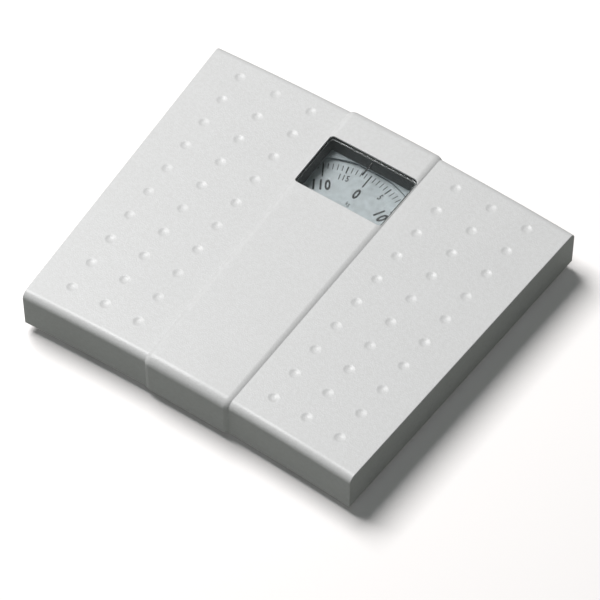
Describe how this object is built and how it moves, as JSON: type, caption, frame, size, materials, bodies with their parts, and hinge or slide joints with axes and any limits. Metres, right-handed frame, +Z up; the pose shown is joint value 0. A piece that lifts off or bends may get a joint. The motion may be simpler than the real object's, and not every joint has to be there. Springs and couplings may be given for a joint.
{
  "type": "mechanical bathroom scale",
  "caption": "Analogue bathroom scale: a dimpled pressed-steel platform on levers, a spring-driven dial under a clear window, on a steel tray with rubber feet.",
  "frame": {"origin": "on the floor, in the middle of the scale", "axes": "+X to the right hand of a person who stands on it facing the dial, +Y from the heels to the dial, +Z up"},
  "size_m": [0.2802, 0.246, 0.04],
  "materials": {
    "platform_enamel": "textured off-white enamel",
    "lens_clear": "clear moulded plastic",
    "frame_plastic": "dark grey, satin",
    "index_print": "black print",
    "tray_paint": "grey paint",
    "foot_rubber": "black moulded rubber",
    "dial_face": "pale grey with black figures",
    "hub_plastic": "grey, satin",
    "wheel_plastic": "black, ribbed rim",
    "pinion_brass": "machined",
    "spring_steel": "drawn wire",
    "zinc_steel": "zinc plated"
  },
  "bodies": {
    "base": {"base_tray": "tray_paint", "foot_front_left": "foot_rubber", "foot_front_right": "foot_rubber", "foot_back_left": "foot_rubber", "foot_back_right": "foot_rubber", "fulcrum_stand_long_left": "zinc_steel", "fulcrum_stand_long_right": "zinc_steel", "fulcrum_stand_short_left": "zinc_steel", "fulcrum_stand_short_right": "zinc_steel", "rivet_long_left": "zinc_steel", "rivet_long_right": "zinc_steel", "rivet_short_left": "zinc_steel", "rivet_short_right": "zinc_steel", "rivet_bridge_left": "zinc_steel", "rivet_bridge_right": "zinc_steel", "rivet_bracket_left": "zinc_steel", "rivet_bracket_right": "zinc_steel", "rivet_guide": "zinc_steel", "rivet_spring_post": "zinc_steel", "dial_bridge": "zinc_steel", "spring_bracket": "zinc_steel", "rack_guide": "zinc_steel", "rack_spring_post": "zinc_steel", "rack_spring": "spring_steel", "crank_pin": "spring_steel", "hold_down_spring_left": "spring_steel", "hold_down_spring_right": "spring_steel"},
    "platform": {"platform_cover": "platform_enamel", "window_frame": "frame_plastic", "window_lens": "lens_clear", "index_line": "index_print", "platform_post_long_left": "zinc_steel", "platform_post_long_right": "zinc_steel", "platform_post_short_left": "zinc_steel", "platform_post_short_right": "zinc_steel", "hold_down_hook_left": "zinc_steel", "hold_down_hook_right": "zinc_steel"},
    "dial": {"dial_disc": "dial_face", "dial_hub": "hub_plastic", "dial_clip": "spring_steel", "pinion_shaft": "pinion_brass"},
    "nose_plate": {"nose_plate": "zinc_steel"},
    "crank": {"crank": "zinc_steel"},
    "rack": {"rack": "zinc_steel"},
    "spring_carrier": {"spring_carrier": "zinc_steel", "main_spring": "spring_steel"},
    "zero_wheel": {"zero_wheel": "wheel_plastic", "zero_screw": "zinc_steel"},
    "long_lever_left": {"long_lever_left": "zinc_steel", "fulcrum_pin_long_left": "spring_steel", "load_pin_long_left": "spring_steel"},
    "short_lever_left": {"short_lever_left": "zinc_steel", "fulcrum_pin_short_left": "spring_steel", "load_pin_short_left": "spring_steel"},
    "long_lever_right": {"long_lever_right": "zinc_steel", "fulcrum_pin_long_right": "spring_steel", "load_pin_long_right": "spring_steel"},
    "short_lever_right": {"short_lever_right": "zinc_steel", "fulcrum_pin_short_right": "spring_steel", "load_pin_short_right": "spring_steel"}
  },
  "joints": [
    {"name": "platform_press", "type": "slide", "parent": "base", "child": "platform", "axis": [0, 0, -1], "range_m": [0, 0.0005837], "stiffness_N_per_m": 20000, "springref_m": -0.0006, "deforming": ["hold_down_spring_left", "hold_down_spring_right"]},
    {"name": "dial_turn", "type": "hinge", "parent": "base", "child": "dial", "pos_m": [0, 0.02657, 0.0235], "axis": [0, 0, 1], "range_deg": [0, 354], "stiffness_Nm_per_rad": 0.018, "springref_deg": -4.58},
    {"name": "long_lever_left_tilt", "type": "hinge", "parent": "base", "child": "long_lever_left", "pos_m": [-0.10311, -0.0871, 0.0125], "axis": [-0.9263, 0.3768, 0], "range_deg": [0, 2.39]},
    {"name": "short_lever_left_tilt", "type": "hinge", "parent": "base", "child": "short_lever_left", "pos_m": [-0.11155, 0.08869, 0.0125], "axis": [0.8533, 0.5214, 0], "range_deg": [0, 2.72]},
    {"name": "long_lever_right_tilt", "type": "hinge", "parent": "base", "child": "long_lever_right", "pos_m": [0.10311, -0.0871, 0.0125], "axis": [-0.9263, -0.3768, 0], "range_deg": [0, 2.39]},
    {"name": "short_lever_right_tilt", "type": "hinge", "parent": "base", "child": "short_lever_right", "pos_m": [0.11155, 0.08869, 0.0125], "axis": [0.8533, -0.5214, 0], "range_deg": [0, 2.72]},
    {"name": "nose_plate_drop", "type": "slide", "parent": "base", "child": "nose_plate", "axis": [0, 0, -1], "range_m": [0, 0.00875], "deforming": ["main_spring"]},
    {"name": "crank_swing", "type": "hinge", "parent": "base", "child": "crank", "pos_m": [-0.012, 0.10137, 0.0295], "axis": [-1, 0, 0], "range_deg": [0, 61.98]},
    {"name": "rack_slide", "type": "slide", "parent": "base", "child": "rack", "axis": [0, -1, 0], "range_m": [0, 0.01545], "deforming": ["rack_spring"]},
    {"name": "spring_carrier_lift", "type": "slide", "parent": "base", "child": "spring_carrier", "axis": [0, 0, 1], "range_m": [-0.0007, 0.0007]},
    {"name": "zero_wheel_turn", "type": "hinge", "parent": "base", "child": "zero_wheel", "pos_m": [0, 0.10737, 0.003], "axis": [0, 0, 1], "range_deg": [-360, 360]}
  ],
  "couplings": [
    {"joint": "dial_turn", "follows": "platform_press", "rad_per_m": 10585},
    {"joint": "long_lever_left_tilt", "follows": "platform_press", "rad_per_m": 71.425},
    {"joint": "short_lever_left_tilt", "follows": "platform_press", "rad_per_m": 81.442},
    {"joint": "long_lever_right_tilt", "follows": "platform_press", "rad_per_m": 71.425},
    {"joint": "short_lever_right_tilt", "follows": "platform_press", "rad_per_m": 81.442},
    {"joint": "nose_plate_drop", "follows": "platform_press", "ratio": 14.996},
    {"joint": "crank_swing", "follows": "platform_press", "rad_per_m": 1853.2},
    {"joint": "rack_slide", "follows": "platform_press", "ratio": 26.462},
    {"joint": "zero_wheel_turn", "follows": "spring_carrier_lift", "rad_per_m": 8976}
  ]
}
